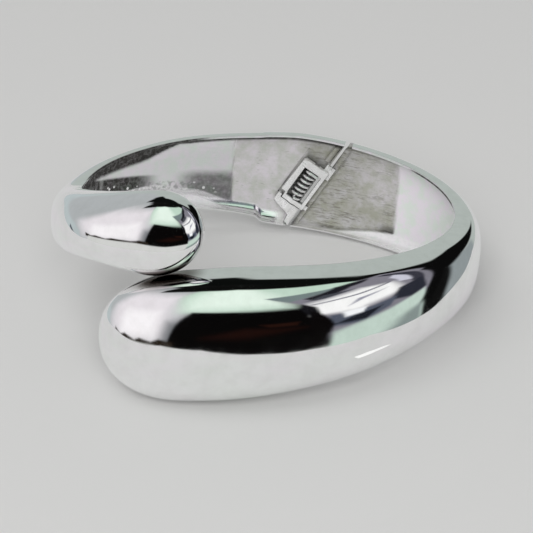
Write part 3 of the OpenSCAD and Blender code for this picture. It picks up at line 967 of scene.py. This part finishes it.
# %% [markdown]
# ## A tent for the reflections
#
# A mirror has no colour of its own, so most of the likeness lies in what surrounds it. Jewellery
# is photographed in a small white tent with black cards, which draw the dark shapes that make
# metal look like metal. The tent here is a large shell that only reflections can see, painted with
# panels: a softbox on the left, a bank of light with a black card overhead, a black card in front
# and a window with bars on the right. Later panels lie over earlier ones.

# %% Tent panels
def linear(colour):
    """A colour from 0 to 255 as the linear values that light is worked out in."""
    share = np.asarray(colour, float) / 255
    return np.where(share <= 0.04045, share / 12.92, ((share + 0.055) / 1.055)**2.4)


def towards(turn, rise):
    """The direction at an angle round from the back and an angle up, both in radians."""
    return np.stack([np.sin(turn) * np.cos(rise), np.cos(turn) * np.cos(rise), np.sin(rise)], -1)


def depth_inside(corners, spots):
    """How deep each spot lies inside an outline, in degrees. Outside it is negative."""
    inside = np.zeros(len(spots), bool)
    reach = np.full(len(spots), 1e9)
    for a, b in zip(corners, np.roll(corners, -1, 0)):
        span = b - a
        along = np.clip((spots - a) @ span / (span @ span), 0, 1)
        reach = np.minimum(reach, np.linalg.norm(spots - a - along[:, None] * span, axis=1))
        if a[1] != b[1]:
            crosses = (a[1] > spots[:, 1]) != (b[1] > spots[:, 1])
            inside ^= crosses & (spots[:, 0] < a[0] + (spots[:, 1] - a[1]) / (b[1] - a[1]) * span[0])
    return np.where(inside, reach, -reach)


def cover(soft, corners, spots):
    """How far a panel covers each spot, from 0 to 1. A full turn more or less is the same."""
    depths = [depth_inside(np.array(corners, float), spots + (turn, 0)) for turn in (-360, 0, 360)]
    return blend(np.maximum.reduce(depths) / soft, -0.5, 0.5)[:, None]


PANELS = (
    # name, colour, softness of the edge, corners as (degrees round from the back, degrees up)
    ("back_wall", (178, 186, 182), 8, [(-60, -30), (62, -30), (62, 60), (-60, 60)]),
    ("left_wall", (178, 182, 184), 10, [(205, -60), (352, -60), (352, 66), (225, 66), (205, 20)]),
    ("left_softbox", (236, 231, 236), 30, [(210, -10), (272, -10), (292, 10), (284, 46), (216, 56)]),
    ("softbox_core", (255, 252, 255), 15, [(221, -6), (258, -9), (266, 16), (225, 20)]),
    ("left_shelf", (186, 196, 198), 6, [(272, -30), (352, -30), (352, -3), (296, 0), (280, -8)]),
    ("overhead_bank", (196, 220, 204), 8,
     [(95, 48), (150, 41), (166, 38), (157, 16), (207, 20), (226, 66), (250, 90), (95, 90)]),
    ("overhead_core", (236, 252, 240), 24, [(158, 22), (208, 24), (214, 68), (166, 80)]),
    # black cards overhead, at the back and in front, with their gleams
    ("overhead_flag", (12, 14, 13), 6, [(-60, 57), (95, 57), (95, 84), (-60, 84)]),
    ("overhead_cap", (14, 15, 14), 5,
     [(92, 60), (110, 64), (140, 69), (185, 73), (225, 67), (254, 55), (262, 52),
      (266, 60), (262, 91), (92, 91)]),
    ("back_flag", (14, 16, 15), 6, [(-40, 62), (-20, 52), (0, 44), (8, 62)]),
    ("left_gap", (84, 88, 96), 1.5, [(274, -19), (290, -16), (303, -8), (303, -12), (290, -20), (276, -23)]),
    ("flag_shadow", (120, 122, 126), 14, [(200, -30), (222, -30), (214, 8), (200, 12)]),
    ("front_flag", (9, 8, 8), 2,
     [(150, -30), (212, -30), (211, -8), (206, 12), (203, 20), (184, 17), (152, 11)]),
    ("flag_streaks", (30, 15, 12), 5, [(153, -9), (178, -3), (196, -7), (176, -10)]),
    ("flag_streak", (38, 20, 15), 2, [(156, -3), (172, -1), (168, -4), (157, -6)]),
    # the far part of the ground and its rim
    ("paper_rim", (40, 33, 26), 1.5,
     [(207, -9), (218, -7), (224, -9), (235, -7.5), (240, -9.5), (252, -7),
      (258, -9), (268, -6), (266, -12), (207, -12)]),
    ("far_paper", (214, 215, 213), 1.5,
     [(138, -21), (150, -20), (165, -18.5), (185, -17), (207, -13), (222, -11),
      (246, -10.5), (262, -10.5), (266, -30), (138, -30)]),
    # the window on the right, with its bars, panes and sill
    ("window", (132, 130, 140), 3,
     [(68, 51), (95, 55), (125, 46), (167, 39), (152, 18), (147, -16), (138, -20), (98, -21)]),
    ("sky", (120, 134, 134), 2, [(120, 50), (167, 39), (158, 27), (142, 36)]),
    ("light", (255, 255, 255), 9, [(105, 27), (120, 33), (150, 19), (148, 2), (134, -3), (108, 3)]),
    ("glow", (255, 255, 255), 4, [(128, 9), (151, 14), (151, 1), (130, -2)]),
    ("bar", (30, 30, 36), 2, [(86, 53), (104, 54), (122, 50), (150, 30), (146, 24), (118, 44)]),
    ("facet", (70, 72, 80), 2, [(122, 36), (140, 33), (150, 24), (142, 25)]),
    ("post", (58, 58, 68), 2, [(77, 49), (84, 50), (100, 12), (95, 2), (89, 18)]),
    ("pane", (206, 206, 220), 2, [(86, 42), (96, 38), (103, 22), (98, 16)]),
    ("shade", (44, 46, 56), 3, [(94, 12), (109, 8), (116, -6), (104, -12), (95, -8)]),
    ("base", (84, 90, 104), 2, [(112, -3), (126, -5), (144, -3), (145, -13), (130, -16), (116, -12)]),
    ("dark", (30, 32, 40), 1.5, [(120, -8), (134, -9), (142, -12), (128, -15)]),
    ("crack", (96, 96, 112), 1.5, [(104, 30), (128, 22), (149, 17), (149, 15.5), (127, 20), (104, 28)]),
    ("chip", (150, 150, 166), 1.5, [(112, 18), (130, 13), (136, 4), (128, 10)]),
    ("spark", (250, 252, 255), 2, [(128, -3), (139, -2), (138, -8), (130, -8)]),
    ("edge", (24, 24, 28), 1.5, [(148, 12), (153, 20), (155, 12), (150, -6), (147, -4)]),
    ("sill", (198, 216, 206), 3, [(96, -10), (116, -15), (142, -17), (146, -30), (94, -30)]),
    ("sill_shade", (136, 148, 146), 4, [(96, -22), (120, -25), (146, -27), (146, -34), (94, -34)]),
    # the front card's tip, the window's frame and the cards on the right
    ("flag_tip", (11, 9, 9), 1.5,
     [(151, 9), (148, 3), (144, -6), (142, -12), (143, -16), (147, -20), (152, -19)]),
    ("window_frame", (12, 12, 12), 3, [(54, 60), (70, 54), (97, -22), (89, -25), (80, 4)]),
    ("right_flag", (12, 12, 12), 3, [(30, 4), (44, 28), (60, 32), (84, 26), (88, 2), (60, 2)]),
    ("right_low", (146, 154, 156), 6, [(46, -30), (78, -30), (76, -2), (62, 2), (48, 0)]),
)
tent_base = linear((18, 18, 18))


def paint_tent(radius=2.0, step=1.0):
    """A shell round the object, coloured by the panels at every step in degrees."""
    around = np.arange(0, 360 + step, step)
    upwards = np.arange(-90, 90 + step, step)
    round_grid, up_grid = np.meshgrid(around, upwards)
    spots = np.stack([round_grid.ravel(), up_grid.ravel()], -1)
    colour = np.tile(tent_base, (len(spots), 1))
    for _, paint, soft, corners in PANELS:
        share = cover(soft, corners, spots)
        colour = colour * (1 - share) + linear(paint) * share
    turn, rise = np.radians(spots[:, 0]), np.radians(spots[:, 1])
    points = radius * towards(turn, rise)
    mesh = bpy.data.meshes.new("tent")
    mesh.from_pydata(points.tolist(), [], faces_between(len(upwards), len(around), closed=False))
    attribute = mesh.attributes.new("paint", "FLOAT_COLOR", "POINT")
    opaque = np.hstack([colour, np.ones((len(spots), 1))])
    attribute.data.foreach_set("color", opaque.astype(np.float32).ravel())
    return new_object("tent", mesh)


def painted_light():
    """A material that glows in the painted colours. As a mere backdrop it isn't sampled as a lamp."""
    material = bpy.data.materials.new("tent_light")
    material.use_nodes = True
    nodes, links = material.node_tree.nodes, material.node_tree.links
    nodes.clear()
    output = nodes.new("ShaderNodeOutputMaterial")
    emission = nodes.new("ShaderNodeEmission")
    painted = nodes.new("ShaderNodeAttribute")
    painted.attribute_name = "paint"
    links.new(painted.outputs["Color"], emission.inputs["Color"])
    links.new(emission.outputs["Emission"], output.inputs["Surface"])
    material.cycles.emission_sampling = "NONE"
    return material


def only_in_reflections(thing):
    """Hides a thing from all rays but those of reflections."""
    for ray in ("camera", "diffuse", "shadow", "transmission", "volume_scatter"):
        setattr(thing, "visible_" + ray, False)


tent = paint_tent()
only_in_reflections(tent)
tent.data.materials.append(painted_light())
print("tent panels", len(PANELS))

# %% [markdown]
# ## Light
#
# The tent is seen but gives no light. An even pale sky lights the bangle, and two soft square
# lights give its shadow a direction. Reflections don't see them: they belong to the tent alone.

# %% Sky and lights
sky_strength = 0.42
bpy.context.scene.view_settings.view_transform = "Standard"
world = bpy.data.worlds.new("studio")
bpy.context.scene.world = world
world.use_nodes = True
sky = world.node_tree.nodes["Background"]
sky.inputs["Color"].default_value = (1, 1, 1, 1)
sky.inputs["Strength"].default_value = sky_strength


def softbox(name, azimuth, elevation, size, power, distance=1.2):
    """A square soft light, at a direction round from the back, aimed at the bangle."""
    away = Vector(towards(math.radians(azimuth), math.radians(elevation)))
    light = new_object(name, bpy.data.lights.new(name, "AREA"))
    light.data.size = size
    light.data.energy = power
    light.location = look_at + away * distance
    light.rotation_mode = "QUATERNION"
    light.rotation_quaternion = away.to_track_quat("Z", "Y")
    light.visible_glossy = False


softbox("front_softbox", azimuth=185, elevation=36, size=0.7, power=6.2)
softbox("top_softbox", azimuth=250, elevation=70, size=0.8, power=2.0)
print("a sky of strength", sky_strength, "and two softboxes")

# %% [markdown]
# ## The ground
#
# A matte white sheet lies under the bangle. Reflections see a smaller one, whose front edge is the
# line along which the dark shapes end in the bulbs, with the faint tints that white paper has in
# mixed light. A third, tiny sheet makes the glint on the lower bulb.

# %% Sheets of paper
def sheet_of_paper(name, outline, height, finish):
    """A flat sheet with its outline in mm, at a height."""
    mesh = bpy.data.meshes.new(name)
    mesh.from_pydata([(x * MM, y * MM, height * MM) for x, y in outline], [], [tuple(range(len(outline)))])
    mesh.materials.append(finish.material)
    sheet = new_object(name, mesh)
    return sheet


def paper(name):
    """The finish of plain matte paper."""
    new = Finish(name)
    new.surface("Base Color", (0.8, 0.8, 0.79))
    new.surface("Roughness", 0.9)
    return new


plain = paper("paper")
tinted = paper("bright_paper")
tint = tinted.noise(tinted.place(), scale=45.0, detail=2.0)
tinted.surface("Base Color", tinted.mix(tint, (0.84, 0.89, 0.84), (0.90, 0.85, 0.90)))
glinting = paper("glint_paper")
glinting.surface("Emission Color", (1, 1, 1))
glinting.surface("Emission Strength", 0.5)
glinting.material.cycles.emission_sampling = "NONE"

floor = sheet_of_paper("floor", [(-3000, -3000), (3000, -3000), (3000, 3000), (-3000, 3000)], -0.1, plain)
floor.visible_glossy = False
near_floor = sheet_of_paper("near_floor", [
    (-70, -58), (-52, -78), (-24, -79), (3, -66), (22, -53), (35, -40), (44, -18), (54, 3), (71, 25),
    (90, 70), (90, 150), (-110, 150), (-110, -30)], -0.05, tinted)
only_in_reflections(near_floor)
glint = sheet_of_paper("glint", [
    (19.5, -31.3), (24, -29.0), (27.3, -26.6), (26.5, -28.6), (23.2, -31.6), (19.8, -33.2)], -0.03, glinting)
only_in_reflections(glint)
print("sheets", [sheet.name for sheet in (floor, near_floor, glint)])

# %% [markdown]
# ## Done
#
